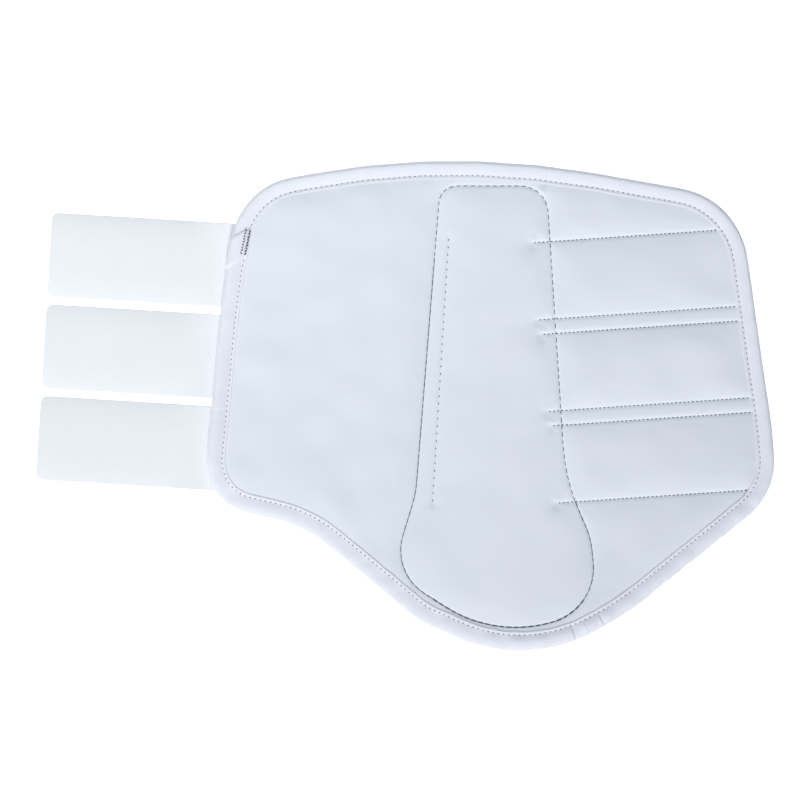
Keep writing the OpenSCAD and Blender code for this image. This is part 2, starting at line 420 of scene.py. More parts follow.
class Zone:
    """One fold line of the frame, with body a on its -X side and body b on its +X side."""

    def __init__(self, joint_name, a, b, before, after):
        joint = next(j for j in frame["joints"] if j["name"] == joint_name)
        axis = np.array(joint["axis"][:2])
        axis = axis * np.sign(axis[1])
        self.across = np.array([axis[1], -axis[0]])
        self.point = np.array(joint["pos_m"][:2]) / MM
        self.height = joint["pos_m"][2]
        self.a, self.b, self.before, self.after = a, b, before, after

    def side(self, points):
        """Distance from the fold line, negative on its -X side."""
        return (points[..., :2] - self.point) @ self.across

    def bend(self, piece):
        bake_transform(piece)


PAD_ZONES = [
    Zone("left_curl", "left_edge", "left_side", BEND_CURL, BEND_CURL),
    Zone("left_fold", "left_side", "centre_panel", BEND_OUT, BEND_BY_PAD),
    Zone("right_fold", "centre_panel", "right_side", BEND_BY_PAD, BEND_OUT),
    Zone("right_curl", "right_side", "right_edge", BEND_CURL, BEND_CURL),
]


def zone_of(points, zones=PAD_ZONES):
    """Number of the zone each point is in. Neighbouring zones meet halfway between their folds."""
    number = np.zeros(points.shape[:-1], int)
    for k in range(1, len(zones)):
        halfway = (zones[k - 1].side(points) + zones[k].side(points)) / 2
        number += halfway > 0
    return number


# ---- mesh helpers


def new_object(name, data):
    made = bpy.data.objects.new(name, data)
    bpy.context.scene.collection.objects.link(made)
    return made


def make_mesh(name, points, faces, normals=None, uvs=None):
    """A mesh object from points in millimetres. normals and uvs hold one row for each face corner."""
    mesh = bpy.data.meshes.new(name)
    mesh.from_pydata((np.asarray(points) * MM).tolist(), [], [list(map(int, f)) for f in faces])
    mesh.update()
    mesh.shade_smooth()
    if uvs is not None:
        layer = mesh.uv_layers.new(name="tape")
        layer.data.foreach_set("uv", np.asarray(uvs, np.float32).ravel())
    if normals is not None:
        mesh.normals_split_custom_set(np.asarray(normals, float).tolist())
    return new_object(name, mesh)


def dress(piece, material, nodes, zone=None, body=None):
    """Material, slot and replaced nodes of a piece, and the body that moves it. A piece in a zone
    only has its transform baked."""
    piece.data.materials.append(material)
    if nodes:
        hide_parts(*nodes)
    if zone:
        zone.bend(piece)
    else:
        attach(piece, body)


def dress_all(pieces, material, stands, zones=PAD_ZONES):
    """The same for one piece in each zone. stands gives the nodes that each of them replaces."""
    for k, piece in pieces.items():
        dress(piece, material, stands.get(k, ()), zones[k])


def layer_nodes(stem):
    """The nodes of one layer of the pad in each zone."""
    panels = (("left_edge",), ("left_side", "centre"), ("right_side",), ("right_edge",))
    return {k: [f"{stem}_{n}" for n in names] for k, names in enumerate(panels)}


def tree_of(points):
    tree = KDTree(len(points))
    for k, p in enumerate(points):
        tree.insert((p[0], p[1], 0), k)
    tree.balance()
    return tree


def nearest(tree, points):
    """Distance and number of the tree point nearest to each point."""
    found = [tree.find((p[0], p[1], 0)) for p in points]
    return np.array([f[2] for f in found]), np.array([f[1] for f in found])


def line_points(start, end, step):
    count = max(2, int(np.linalg.norm(end - start) / step) + 1)
    return start + (end - start) * np.linspace(0, 1, count)[:, None]


def parallels(line, offsets, is_closed):
    """Copies of a line moved sideways."""
    if is_closed:
        side = outward(line)
    else:
        way = line[-1] - line[0]
        side = np.array([[way[1], -way[0]]]) / np.linalg.norm(way)
    return [line + side * o for o in offsets]


def triangulate(border, inner):
    """Triangles over a closed border with extra inner points. Returns points and triangles."""
    points = np.vstack([border, inner])
    count = len(border)
    edges = [(k, (k + 1) % count) for k in range(count)]
    made = delaunay_2d_cdt([Vector(p) for p in points], edges, [], 1, 1e-5)
    return np.array([tuple(v) for v in made[0]]), np.array(made[2])


def hex_grid(low, high, spacing):
    grid = []
    for k, y in enumerate(np.arange(low[1], high[1], spacing * math.sqrt(3) / 2)):
        x = np.arange(low[0] + spacing / 2 * (k % 2), high[0], spacing)
        grid.append(np.stack([x, np.full(len(x), y)], 1))
    return np.vstack(grid)


def inside(loop, points, batch=4000):
    """Which points lie in a closed loop."""
    x, y = points[:, 0:1], points[:, 1:2]
    x0, y0 = loop[:, 0][None], loop[:, 1][None]
    x1, y1 = np.roll(loop[:, 0], -1)[None], np.roll(loop[:, 1], -1)[None]
    result = np.zeros(len(points), bool)
    for part in np.array_split(np.arange(len(points)), max(1, len(points) // batch)):
        crosses = (y0 > y[part]) != (y1 > y[part])
        with np.errstate(divide="ignore", invalid="ignore"):
            at = x0 + (y[part] - y0) * (x1 - x0) / (y1 - y0)
        result[part] = ((crosses & (x[part] < at)).sum(1) % 2) == 1
    return result


def sheet_mesh(border, lines, spacing, clearance=0.75):
    """Triangulated sheet whose points follow the given lines and fill the rest evenly."""
    border = resample(border, spacing)
    tight = inset(border, spacing * 0.6)
    grid = hex_grid(border.min(0), border.max(0), spacing)
    grid = grid[inside(tight, grid)]
    if lines:
        rows = np.vstack(lines)
        rows = rows[inside(tight, rows)]
        tree = tree_of(rows)
        kept = [
            p for k, p in enumerate(rows)
            if all(n >= k for _, n, _ in tree.find_range((p[0], p[1], 0), LINE_STEP))
        ]
        distance, _ = nearest(tree_of(kept), grid)
        grid = np.vstack([grid[distance > spacing * clearance], kept])
    return triangulate(border, grid)


def vertex_normals(points, triangles):
    a, b, c = (points[triangles[:, k]] for k in range(3))
    face = np.cross(b - a, c - a)
    total = np.zeros_like(points)
    for k in range(3):
        np.add.at(total, triangles[:, k], face)
    return unit(total)


def solid_sheets(name, flat, triangles, high, low, zones=PAD_ZONES):
    """Closed pieces between two height fields over one triangulation, one piece for each zone.
    Pieces share their points and normals where they meet, so the sheet shows no joins."""
    top, bottom = np.column_stack([flat, high]), np.column_stack([flat, low])
    top_normals, bottom_normals = vertex_normals(top, triangles), -vertex_normals(bottom, triangles)
    number = zone_of(flat[triangles].mean(1), zones) if zones else np.zeros(len(triangles), int)
    pieces = {}
    for k in range(number.max() + 1):
        used, compact = np.unique(triangles[number == k], return_inverse=True)
        tri = compact.reshape(-1, 3)
        points = np.vstack([top[used], bottom[used]])
        directed = np.vstack([tri[:, [0, 1]], tri[:, [1, 2]], tri[:, [2, 0]]])
        edges = {(a, b) for a, b in directed.tolist()}
        a, b = np.array(sorted((a, b) for a, b in edges if (b, a) not in edges)).T
        walls = np.stack([a, a + len(used), b + len(used), b], 1)
        faces = tri.tolist() + (tri[:, ::-1] + len(used)).tolist() + walls.tolist()
        edge = points[b] - points[a]
        normals = np.vstack([
            top_normals[used][tri.ravel()],
            bottom_normals[used][tri[:, ::-1].ravel()],
            np.repeat(unit(np.column_stack([edge[:, 1], -edge[:, 0], np.zeros(len(edge))])), 4, 0),
        ])
        pieces[k] = make_mesh(f"{name}_{k + 1}" if zones else name, points, faces, normals)
    return pieces


def grid_normals(rings, closed_path, closed_rings=True):
    """Normals of a grid of rings along a path."""
    if closed_path:
        along = np.roll(rings, -1, 0) - np.roll(rings, 1, 0)
    else:
        along = np.gradient(rings, axis=0)
    if closed_rings:
        over = np.roll(rings, -1, 1) - np.roll(rings, 1, 1)
    else:
        over = np.gradient(rings, axis=1)
    return unit(np.cross(over, along))


def stretches(numbers, count, closed_path):
    """Numbers of the rings along each stretch of spans that are in one zone, listed by zone."""
    breaks = [k for k in range(len(numbers)) if numbers[k] != numbers[k - 1]]
    if not closed_path:
        breaks = sorted({0, *breaks})
    ends = breaks[1:] + [len(numbers) + breaks[0]]
    found = {}
    for first, last in zip(breaks, ends):
        ring = [k % count for k in range(first, last + 1)]
        found.setdefault(int(numbers[first]), []).append(ring)
    return sorted(found.items())


def swept_pieces(name, rings, numbers, closed_path, run, girth):
    """Closed pieces from rings of points. numbers gives the zone of each span between rings, and
    run and girth give tape coordinates along and round the rings, in millimetres."""
    normals = grid_normals(rings, closed_path)
    count, around = rings.shape[:2]
    made = {}
    for number, parts in stretches(numbers, count, closed_path):
        points, faces, corner_normals, corner_uvs = [], [], [], []
        for part in parts:
            base = len(points) * around
            points += [rings[i] for i in part]
            for j in range(len(part) - 1):
                spacing = np.linalg.norm(rings[part[j + 1], 0] - rings[part[j], 0])
                for m in range(around):
                    n = (m + 1) % around
                    quad = [(j, m, m), (j, n, m + 1), (j + 1, n, m + 1), (j + 1, m, m)]
                    faces.append([base + a * around + b for a, b, _ in quad])
                    corner_normals += [normals[part[a], b] for a, b, _ in quad]
                    corner_uvs += [(run[part[j]] + (a - j) * spacing, girth[g]) for a, _, g in quad]
            last = len(part) - 1
            for j, beside in ((0, 1), (last, last - 1)):
                cap = [base + j * around + m for m in range(around)]
                faces.append(cap if j else cap[::-1])
                corner_normals += [unit(rings[part[j], 0] - rings[part[beside], 0])] * around
                corner_uvs += [(run[part[j]], 0)] * around
        made[number] = make_mesh(f"{name}_{number + 1}", np.vstack(points), faces,
                                 corner_normals, corner_uvs)
    return made


# ---- materials


def put(tree, socket, value):
    """Links a socket into another, or sets it to a value."""
    if isinstance(value, bpy.types.NodeSocket):
        tree.links.new(value, socket)
    else:
        socket.default_value = value


def add(tree, kind, inputs, output=0, **settings):
    """A node with values or other nodes' sockets for its inputs. Returns one of its sockets."""
    node = tree.nodes.new(kind)
    for key, value in settings.items():
        setattr(node, key, value)
    for key, value in inputs.items():
        put(tree, node.inputs[key], value)
    return node.outputs[output]


def coordinates(tree, scale, source="Object"):
    """Texture coordinates in units of 1/scale metres."""
    place = add(tree, "ShaderNodeTexCoord", {}, source)
    scales = scale if isinstance(scale, tuple) else (scale,) * 3
    return add(tree, "ShaderNodeMapping", {"Vector": place, "Scale": scales})


def speckle(tree, scale, detail):
    inputs = {"Vector": coordinates(tree, scale), "Scale": 1.0, "Detail": detail}
    return add(tree, "ShaderNodeTexNoise", inputs, "Fac")


def cells(tree, scale, feature="F1", randomness=1.0):
    inputs = {"Vector": coordinates(tree, scale), "Scale": 1.0, "Randomness": randomness}
    return add(tree, "ShaderNodeTexVoronoi", inputs, "Distance", feature=feature)


def twist(tree):
    inputs = {"Vector": coordinates(tree, (1600, 1600, 900)), "Scale": 1.0, "Distortion": 0.4}
    return add(tree, "ShaderNodeTexWave", inputs, "Fac")


def weave(tree, pitch, source, units):
    """Plain weave: the product of two wave trains, pitch in millimetres."""
    place = coordinates(tree, units / pitch, source)
    waves = {}
    for axis in (0, 1):
        along = add(tree, "ShaderNodeSeparateXYZ", {0: place}, axis)
        turn = add(tree, "ShaderNodeMath", {0: along, 1: math.pi}, operation="MULTIPLY")
        waves[axis] = add(tree, "ShaderNodeMath", {0: turn}, operation="SINE")
    return add(tree, "ShaderNodeMath", waves, operation="MULTIPLY")


def new_material(name, dark, light, mottle, roughness, sheen=0.0, specular=0.5):
    """A material between two tones. mottle is the function of its pattern and that one's values."""
    material = bpy.data.materials.new(name)
    material.use_nodes = True
    tree = material.node_tree
    shader = tree.nodes["Principled BSDF"]
    tones = {0: mottle[0](tree, *mottle[1:]), 6: (*dark, 1), 7: (*light, 1)}
    colour = add(tree, "ShaderNodeMix", tones, 2, data_type="RGBA")
    for key, value in (("Base Color", colour), ("Roughness", roughness), ("Sheen Weight", sheen),
                       ("Specular IOR Level", specular)):
        put(tree, shader.inputs[key], value)
    return material, tree, shader


def relief_material(name, dark, light, mottle, relief, distance, *surface):
    """A material with bumps on top of one another, each a strength, a function and its values."""
    material, tree, shader = new_material(name, dark, light, mottle, *surface)
    below = {}
    for strength, height, *values in relief:
        inputs = {"Height": height(tree, *values), "Strength": strength, "Distance": distance}
        below = {"Normal": add(tree, "ShaderNodeBump", inputs | below)}
    put(tree, shader.inputs["Normal"], below["Normal"])
    return material


def cloth_material(name, dark, light, pitch, strength, roughness, sheen, source, units):
    """Woven cloth with a soft sheen and faint uneven whiteness."""
    relief = [(strength, weave, pitch, source, units), (strength / 2, speckle, 900, 2)]
    return relief_material(name, dark, light, (speckle, 28, 3), relief, 0.0002, roughness, sheen, 0.3)


def leather_material(name, dark, light, grain):
    """Synthetic leather: pebbled cells with fine pores, satin finish."""
    relief = [(0.25, cells, grain, "DISTANCE_TO_EDGE"), (0.12, speckle, 1800, 3)]
    return relief_material(name, dark, light, (speckle, 24, 4), relief, 0.0003, 0.48, 0.0, 0.4)


LINING = cloth_material("lining", (0.737, 0.779, 0.847), (0.767, 0.804, 0.872),
                        0.62, 0.10, 0.8, 0.25, "Object", 1 / MM)
BINDING = cloth_material("binding", (0.775, 0.80, 0.87), (0.805, 0.83, 0.895),
                         0.5, 0.22, 0.65, 0.9, "UV", 1.0)
SHELL = leather_material("shell", (0.70, 0.72, 0.755), (0.75, 0.765, 0.795), 620)
COVER = leather_material("strike_cover", (0.72, 0.735, 0.765), (0.765, 0.78, 0.805), 450)

# Rows of tiny stiff hooks, a soft tangle of brushed loops, twisted thread, foam with fine pores, and
# dark moulded plastic
HOOK = relief_material(
    "hook_tape", (0.80, 0.825, 0.855), (0.84, 0.86, 0.885), (speckle, 30, 3),
    [(0.25, cells, 800, "F1", 0.35), (0.2, speckle, 2500, 2)], 0.0003, 0.7, 0.2)
LOOP = relief_material(
    "loop_tape", (0.69, 0.72, 0.765), (0.77, 0.795, 0.835), (speckle, 60, 5),
    [(0.7, speckle, 1300, 6), (0.3, speckle, 400, 3)], 0.0004, 0.92, 0.5)
# Thread: a dark thread made near-black, so that it also paints the shade in its needle holes and in the
# seam grooves
THREAD_AND_HOLE_SHADE = relief_material(
    "thread", (0.035, 0.042, 0.075), (0.085, 0.095, 0.15), (twist,), [(0.4, twist)], 0.0001, 0.6)
FOAM = relief_material(
    "foam", (0.78, 0.77, 0.72), (0.88, 0.87, 0.82), (speckle, 90, 4),
    [(0.6, cells, 1500)], 0.0003, 0.95)
PLATE = relief_material(
    "strike_plate", (0.03, 0.03, 0.035), (0.05, 0.052, 0.058), (speckle, 70, 4),
    [(0.2, speckle, 1200, 4)], 0.0003, 0.45)


# ---- shape of the padded sheet


def ripple(points, kind):
    """Smooth noise over flat points. kind is its wave size, seed and height."""
    size, seed, height = kind
    return height * np.array([noise.noise(Vector((x / size, y / size, seed))) for x, y in points])


def ring_noise(share, waves, seed, turns=6):
    """Smooth noise at shares of the way round a closed path, with about this many waves."""
    size = waves / turns
    return np.array([
        noise.noise(Vector((math.cos(a) * size, math.sin(a) * size, seed)))
        for a in share * 2 * np.pi
    ])


def lift(points):
    """Rise of the corners that stand off the floor."""
    rise = 0
    for way, height, reach in LIFTED:
        inward = (points[..., :2] @ way - (pad @ way).max() + reach) / reach
        rise = rise + height * smoothstep(np.clip(inward, 0, 1))
    return rise


row_lines = [line_points(a, b, SEAM_STEP) for a, b in ROWS]
anchor_line = line_points(anchor_bottom, anchor_top, SEAM_STEP)
key_tree, binding_tree, border_tree = (tree_of(resample(p, LINE_STEP)) for p in (key, pad_seam, pad))


def to_segment(points, start, end):
    """Distance to a straight seam, and the offset across it."""
    length = np.linalg.norm(end - start)
    way = (end - start) / length
    offset = points - start
    gap = offset - np.clip(offset @ way, 0, length)[:, None] * way
    return np.linalg.norm(gap, axis=1), gap @ np.array([-way[1], way[0]])


def seam_dip(points):
    """How far the seams pull the sheet down, and the distance to the nearest seam."""
    pulls = [(nearest(key_tree, points)[0], *STRIKE_SEAM),
             (nearest(binding_tree, points)[0], *BINDING_SEAM),
             (to_segment(points, anchor_bottom, anchor_top)[0], *ANCHOR_SEAM)]
    for start, end in ROWS:
        gap, side = to_segment(points, start, end)
        reach = ROW_SHORT + (ROW_SEAM[1] - ROW_SHORT) / (1 + np.exp(side / ROW_BLEND))
        pulls.append((gap, ROW_SEAM[0], reach))
    dips = np.array([depth * np.exp(-gap / reach) for gap, depth, reach in pulls])
    return np.sum(dips ** 3, 0) ** (1 / 3), np.min([p[0] for p in pulls], 0)


def smooth_sheet(values, triangles, passes, held):
    """Averages each value with its neighbours, except where held."""
    for _ in range(passes):
        total, count = np.zeros(len(values)), np.zeros(len(values))
        for a, b in ((0, 1), (1, 0), (1, 2), (2, 1), (2, 0), (0, 2)):
            np.add.at(total, triangles[:, a], values[triangles[:, b]])
            np.add.at(count, triangles[:, a], 1)
        values = np.where(held, values, (values + total / count) / 2)
    return values


def simulate_crown():
    """Cloth simulation of the lining under the foam's push, held down along every seam.
    Returns the simulated sheet's flat points, triangles and rise."""
    step = CLOTH_SPACING / 2
    lines = [line_points(a, b, step) for a, b in [*ROWS, (anchor_bottom, anchor_top)]]
    lines.append(resample(key, step))
    border = resample(pad_seam, step)
    flat, triangles = sheet_mesh(border, lines, CLOTH_SPACING, 0.7)
    sheet = make_mesh("lining_cloth", np.column_stack([flat, ripple(flat, CLOTH_RIPPLE)]), triangles)
    held = nearest(tree_of(np.vstack(lines + [border])), flat)[0] < CLOTH_HELD
    sheet.vertex_groups.new(name="held").add(np.where(held)[0].tolist(), 1.0, "REPLACE")
    cloth = sheet.modifiers.new("Cloth", "CLOTH")
    for setting, value in CLOTH.items():
        setattr(cloth.settings, setting, value)
    cloth.settings.effector_weights.gravity = 0
    cloth.point_cache.frame_start, cloth.point_cache.frame_end = 1, CLOTH_FRAMES
    for number in range(1, CLOTH_FRAMES + 1):
        bpy.context.scene.frame_set(number)
    done = sheet.evaluated_get(bpy.context.evaluated_depsgraph_get())
    rise = np.array([v.co.z for v in done.data.vertices]) / MM
    bpy.context.scene.frame_set(1)
    bpy.data.objects.remove(sheet)
    return flat, triangles, smooth_sheet(rise, triangles, CROWN_SMOOTHING, held)


def crown_at(points):
    """Simulated rise at flat points, capped, and zero outside the binding seam."""
    within = inside(pad_seam, points)
    flat, triangles, rise = simulate_crown()
    corners = [Vector((*p, 0)) for p in flat]
    lifted = [Vector((*p, z)) for p, z in zip(flat, rise)]
    tree = BVHTree.FromPolygons(corners, triangles.tolist())
    found = np.zeros(len(points))
    for k in np.where(within)[0]:
        spot = Vector((*points[k], 0))
        face = triangles[tree.find_nearest(spot)[2]].tolist()
        moved = [corners[i] for i in face] + [lifted[i] for i in face]
        found[k] = barycentric_transform(spot, *moved).z
    return CROWN_CAP * np.tanh(found / CROWN_CAP)


def puff(points, spot, height, size):
    return height * np.exp(-np.sum((points - spot) ** 2, 1) / size ** 2)


def lining_height(points):
    """Top of the lining: crowned between its seams, pulled down at them and tucked under the binding."""
    dip, gap = seam_dip(points)
    height = LINING_TOP + crown_at(points) - dip
    height += ripple(points, GATHERS) * np.exp(-((gap - GATHERS_AT) / GATHERS_WIDTH) ** 2)
    height -= GROOVE_DEPTH * np.exp(-(gap / GROOVE_WIDTH) ** 2)
    height += ripple(points, BROAD_RIPPLE) * np.clip(gap / RIPPLE_START[0], 0, 1)
    share = (1 + (points[:, 0] < RIPPLED_LEFT)) / 2
    height += ripple(points, SOFT_RIPPLE) * np.clip(gap / RIPPLE_START[1], 0, 1) * share
    notch = key[np.argmax(key @ (1.0, 1.0))] + np.array(NOTCH_SIDE)
    height += puff(points, notch, NOTCH_PUFF, NOTCH_SIZE)
    for start, _ in ROWS:
        height += puff(points, start + ROW_PUFF_SIDE * patch_lane.v, ROW_PUFF, ROW_PUFF_SIZE)
        height -= puff(points, start + ROW_DIMPLE_SIDE * patch_lane.v, ROW_DIMPLE, ROW_PUFF_SIZE)
    covered = SEAM_INSET - nearest(border_tree, points)[0]
    tucked = LINING_TOP - BINDING_SEAM[0] - TUCK_SLOPE * covered
    return np.where(covered > 0, np.minimum(height, tucked), height) + lift(points)


def shell_height(points):
    """Bottom of the shell, which follows the lining's seams."""
    wave = SHELL_RIPPLE[2] + ripple(points, SHELL_RIPPLE)
    return SHELL_BOTTOM + SHELL_SHARE * seam_dip(points)[0] + wave + lift(points)


def surface(flat, height):
    """A function for a sheet's height at any flat point, taken from its nearest mesh point."""
    tree = tree_of(flat)
    return lambda points: height[nearest(tree, points)[1]]


def build_layer(name, material, flat, triangles, high, low):
    """One layer of the pad between two heights."""
    dress_all(solid_sheets(name, flat, triangles, high, low), material, layer_nodes(name))


def build_sheets():
    """Lining, shell and foam padding. Returns the lining's and the shell's outer surfaces."""
    lines = []
    for loop in (key, pad_seam):
        lines += parallels(resample(loop, SEAM_STEP), SEAM_ROWS, True)
    for line in [anchor_line, *row_lines]:
        lines += parallels(line, SEAM_ROWS, False)
    flat, triangles = sheet_mesh(inset(pad, LINING_INSET), lines, SHEET_SPACING)
    lining, shell = lining_height(flat), shell_height(flat)
    inner, outer = surface(flat, lining), surface(flat, shell)
    build_layer("lining", LINING, flat, triangles, lining, lining - LINING_THICK)
    build_layer("shell", SHELL, flat, triangles, shell + SHELL_THICK, shell)
    flat, triangles = sheet_mesh(inset(pad, PADDING_INSET), [], PADDING_SPACING)
    low = outer(flat) + SHELL_THICK + LAYER_GAP
    high = np.maximum(inner(flat) - LINING_THICK - LAYER_GAP, low + PADDING_LEAST)
    build_layer("padding", FOAM, flat, triangles, high, low)
    return inner, outer


# ---- binding


def ring_places():
    """Places of the binding's rings on the pad's outline, closer together at the creases."""
    fine = resample(pad, 0.25)
    length = np.linalg.norm(np.roll(fine, -1, 0) - fine, axis=1).sum()
    places = np.arange(0, length, RING_STEP)
    for share, _ in CREASES:
        near = share * length + np.arange(-CREASE_ROOM, CREASE_ROOM, CREASE_STEP)
        places = np.concatenate([places[np.abs(places - share * length) > CREASE_ROOM + 0.1], near])
    run = np.sort(places)
    return along_line(closed(fine), np.arange(len(fine) + 1) * length / len(fine), run), run, length


def wrapped(share):
    """A share of the way round, from -0.5 to 0.5."""
    return (share + 0.5) % 1 - 0.5


def binding_skin(inner, outer):
    """The tape's outer skin as rings of [inset, height], from the lining side over the rim."""
    path, run, length = ring_places()
    fine = resample(pad, LINE_STEP)
    normal = outward(fine)[nearest(tree_of(fine), path)[1]]
    share = run / length
    foot = np.clip(-normal[:, 1], 0, 1)
    swell = ring_noise(share, *SWELL) * (1 + SWELL_FOOT * foot)
    crease = np.zeros(len(path))
    for place, depth in CREASES:
        gap = wrapped(share - place) * length
        crease += depth * np.tanh(gap / CREASE_EDGE) * np.exp(-np.abs(gap) / CREASE_REACH)
    ruffle = np.exp(-(wrapped(share - RUFFLED[0]) / RUFFLED[1]) ** 2)
    uneven = (UNEVEN_TOP + UNEVEN_FOOT * foot + UNEVEN_RUFFLED * ruffle) * ring_noise(share, *UNEVEN)
    uneven += WANDER_WIDTH * ring_noise(share, *WANDER)
    uneven += np.maximum(0, (normal * RIM_INSET).max(1))
    rim_inset = UNEVEN_SHARE * uneven + CREASE_INSET * crease
    roll = ROLL[0] + (ROLL[1] - ROLL[0]) * foot
    drop = CREST_DROP + foot * (CREST_DROP_FOOT + CREST_DROP_LEFT * np.clip(-normal[:, 0], 0, 1))
    middle = (LEAF_TOP + LEAF_BOTTOM) / 2 + lift(path)
    half = (LEAF_TOP - LEAF_BOTTOM) / 2
    upper = middle + half - drop + SWELL_RISE * swell - CREASE_FALL * crease
    halves = []
    for cloth, sign, crest in ((inner, 1, upper), (outer, -1, middle - half + CREST_UNDER)):
        at_seam = cloth(path - normal * SEAM_INSET) + sign * (TAPE + SEAM_GAP)
        at_edge = cloth(path - normal * LEAF_WIDTH) + sign * (TAPE + EDGE_GAP)
        beside = at_edge + (at_seam - at_edge) * LEAF_RISE + sign * EDGE_GAP
        points = [(LEAF_WIDTH + SWELL_WIDTH * swell, at_edge), (LEAF_WIDTH - LEAF_EASE[0], beside),
                  (SEAM_INSET + LEAF_EASE[1], beside), (SEAM_INSET, at_seam)]
        for t in SLOPE_PLACES:
            rise = math.sin(math.pi / 2 * t) ** SQUARENESS
            points.append((SEAM_INSET + (roll - SEAM_INSET) * t, at_seam + (crest - at_seam) * rise))
        for a in RIM_ANGLES:
            u = roll * (1 - math.sin(a)) + rim_inset * math.sin(a) ** 2
            points.append((u, middle + (crest - middle) * math.cos(a) ** SQUARENESS))
        halves.append(np.stack([np.stack(np.broadcast_arrays(u, z), 1) for u, z in points], 1))
    rim = np.stack([rim_inset, middle], 1)[:, None]
    return path, normal, run, np.concatenate([halves[0], rim, halves[1][:, ::-1]], 1)


def to_space(path, normal, skin):
    rings = np.zeros((*skin.shape[:2], 3))
    rings[..., :2] = path[:, None] - normal[:, None] * skin[..., :1]
    rings[..., 2] = skin[..., 1]
    return rings


def girth_of(ring):
    return run_of(closed(ring))


def build_binding(inner, outer):
    """One tape folded over the rim all the way round, and the lap where its ends meet."""
    path, normal, run, skin = binding_skin(inner, outer)
    along = unit(np.gradient(skin, axis=1))
    lining_side = skin + TAPE * np.stack([-along[..., 1], along[..., 0]], 2)
    section = np.concatenate([skin, lining_side[:, ::-1]], 1)
    rings = to_space(path, normal, section)
    centres = (rings[:, 0, :2] + np.roll(rings[:, 0, :2], -1, 0)) / 2
    made = swept_pieces("binding", rings, zone_of(centres), True, run, girth_of(section[0]))
    dress_all(made, BINDING, layer_nodes("binding"))
    build_join(path, normal, run, skin)
    return path, normal, skin


def build_join(path, normal, run, skin):
    """The tape's end, folded under and lapped over its start with a slanting edge."""
    low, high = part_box("binding_join")
    half = JOIN_LENGTH / 2
    spot = np.array([(low.x + high.x) / 2, high.y]) / MM - (0, half)
    middle = int(np.argmin(np.linalg.norm(path - normal * SEAM_INSET - spot, axis=1)))
    insets = skin[middle, JOIN_COLUMNS, 0]
    slant = JOIN_SLANT * (1 - np.clip(insets / SEAM_INSET, 0, 1))
    steps = np.linspace(-half, half, JOIN_RINGS)
    start = np.clip((half + steps) / JOIN_RAMPS[0], 0, 1)
    end = np.clip((half - steps) / JOIN_RAMPS[1], 0, 1)
    proud = JOIN_LIFT * np.minimum(JOIN_STEP + (1 - JOIN_STEP) * np.sqrt(start), end)
    face = to_space(path, normal, skin)
    ups = grid_normals(face, True, False)
    top, bottom = np.zeros((2, JOIN_RINGS, len(insets), 3))
    for j, m in enumerate(JOIN_COLUMNS):
        where = np.interp(run[middle] + steps + slant[j], run, np.arange(len(run)))
        first = np.floor(where).astype(int)
        after = (first + 1) % len(path)
        mix = (where - first)[:, None]
        base = face[first, m] * (1 - mix) + face[after, m] * mix
        up = ups[first, m] * (1 - mix) + ups[after, m] * mix
        top[:, j] = base + up * proud[:, None] * min(1, JOIN_SIDE[0] + j * JOIN_SIDE[1])
        bottom[:, j] = base - up * JOIN_UNDER
    rings = np.concatenate([top, bottom[:, ::-1]], 1)
    numbers = np.zeros(JOIN_RINGS - 1, int)
    made = swept_pieces("binding_join_lap", rings, numbers, False, steps, girth_of(rings[0]))
    dress(made[0], BINDING, ["binding_join"], body="left_edge")


# ---- tapes


def rounded_tape(width, thick):
    """Cross-section of a flat tape: (across, height), anticlockwise when looking along -u."""
    half = width / 2
    over = np.linspace(-half + TAPE_ROUNDING, half - TAPE_ROUNDING, TAPE_COLUMNS)
    turn, fall = TAPE_EDGE
    right = [(half - TAPE_ROUNDING * (1 - math.cos(a)), thick / 2 * math.cos(b))
             for a, b in ((turn, fall), (0.0, math.pi / 2), (turn, math.pi - fall))]
    side = [(v, thick / 2) for v in over] + right
    return np.array(side + [(-v, -h) for v, h in side])


def tape_rings(lane, stations, v_low, v_high, node, narrow=0, sag=0, loose=0):
    """Rings of a tape along a lane, as high as its node. narrow trims each side at a station and sag
    lowers the tape there. Where it is loose, from 0 to 1, its edges hang and it lies on the floor."""
    low, high = heights_of(node)
    middle, width = (v_low + v_high) / 2, v_high - v_low
    shape = rounded_tape(width, high - low)
    rings = np.zeros((len(stations), len(shape), 3))
    narrow, sag, loose = (np.zeros(len(stations)) + value for value in (narrow, sag, loose))
    for k, u in enumerate(stations):
        trim = 1 - 2 * narrow[k] / width
        rings[k, :, :2] = lane.at(u, 0) + np.outer(middle + shape[:, 0] * trim, lane.v)
        hang = STRAP_BOW * loose[k] * np.abs(2 * shape[:, 0] / width) ** 3
        rings[k, :, 2] = (low + high) / 2 + shape[:, 1] - sag[k] - hang + lift(rings[k]) * (1 - loose[k])
    return rings, girth_of(shape)


def build_tape(name, lane, v, stations, rings, zones, material, stands):
    """The pieces of one tape whose middle line is at v, from its rings and their girth."""
    centre = lane.at((stations[1:] + stations[:-1]) / 2, v)
    made = swept_pieces(name, rings[0], zone_of(centre, zones), False, stations, rings[1])
    dress_all(made, material, stands, zones)


